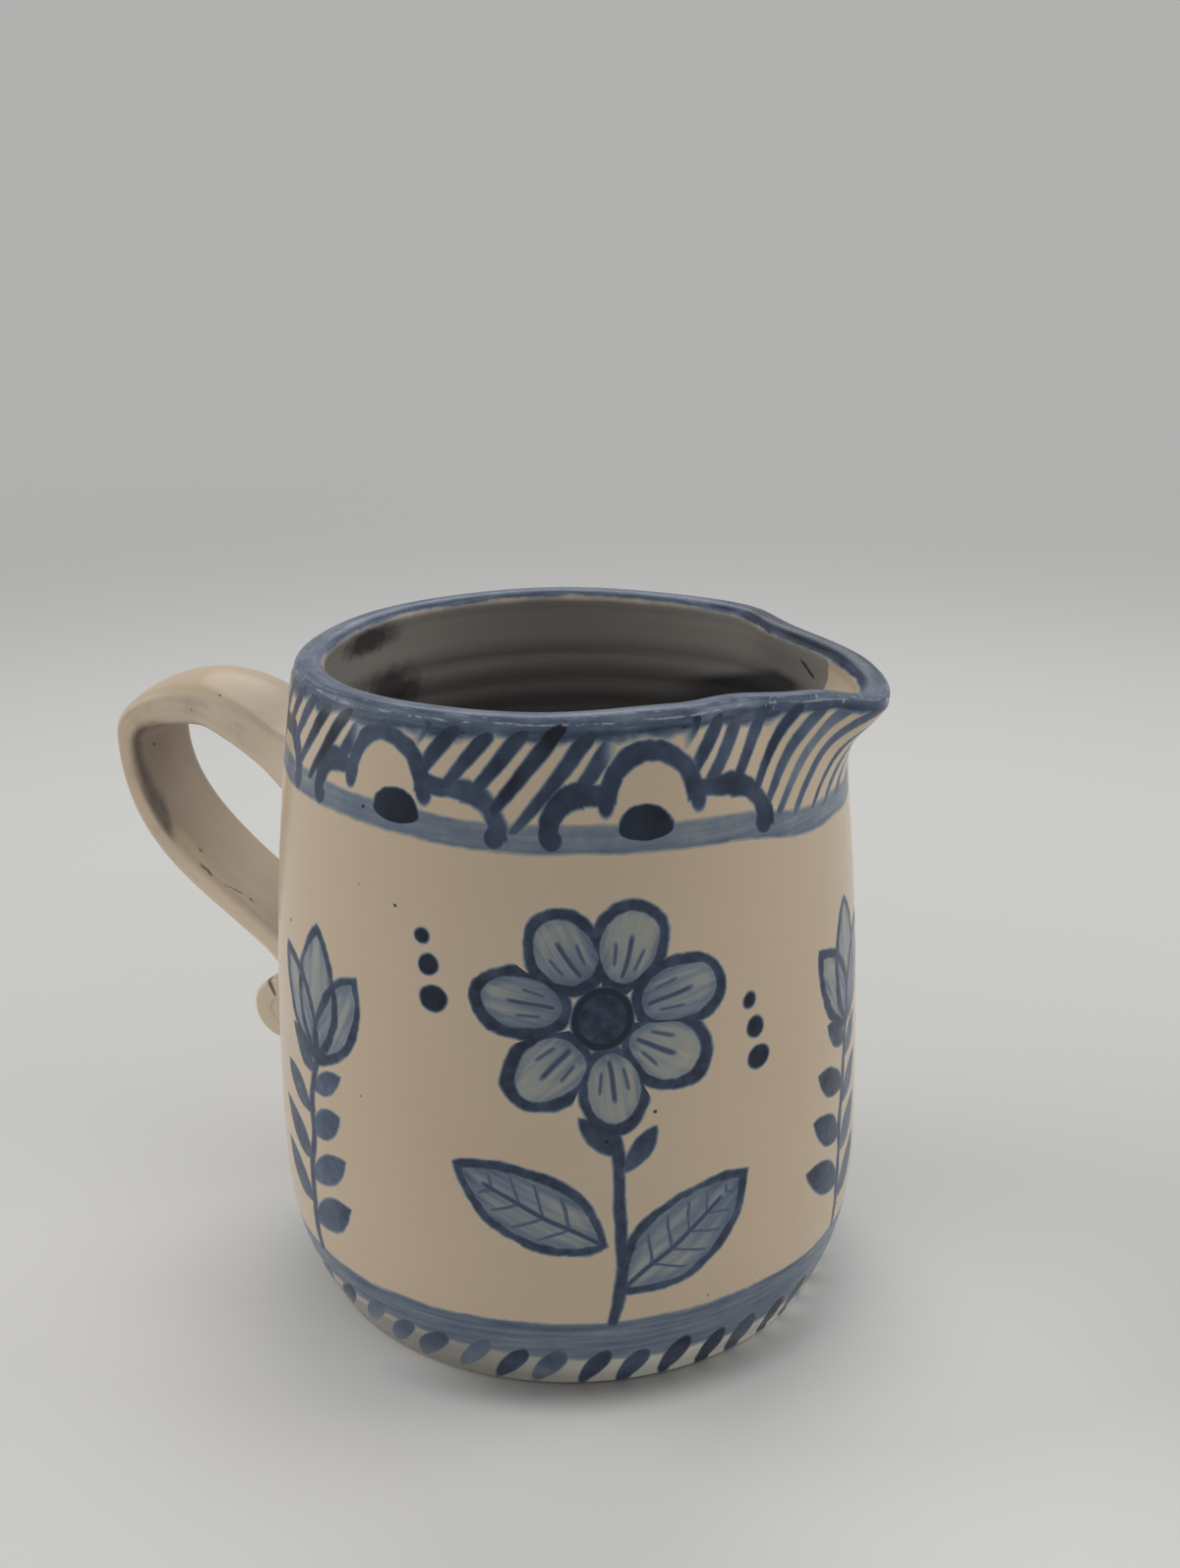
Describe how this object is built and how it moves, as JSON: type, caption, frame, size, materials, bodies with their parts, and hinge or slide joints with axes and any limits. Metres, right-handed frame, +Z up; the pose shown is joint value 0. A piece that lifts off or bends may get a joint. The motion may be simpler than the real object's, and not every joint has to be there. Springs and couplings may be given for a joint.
{
  "type": "ceramic jug",
  "caption": "Thrown ceramic jug with a pulled strap handle and a luted pouring lip, for holding and pouring milk or sauce.",
  "frame": {"origin": "middle of the flat foot, on the surface that the jug stands on", "axes": "+Z up along the axis of throwing, +X towards the pouring lip, the handle at -X"},
  "size_m": [0.1448, 0.1032, 0.115],
  "materials": {
    "painted_glaze": "cream clay with blue brushwork under a clear satin glaze",
    "plain_glaze": "cream clay under a clear satin glaze, unpainted"
  },
  "bodies": {
    "root": {"thrown_body": "painted_glaze", "pouring_lip": "painted_glaze", "lip_slip_seam": "painted_glaze", "handle_strap": "plain_glaze", "handle_curl": "plain_glaze", "upper_joint_coil": "plain_glaze", "lower_joint_coil": "plain_glaze"}
  },
  "joints": []
}
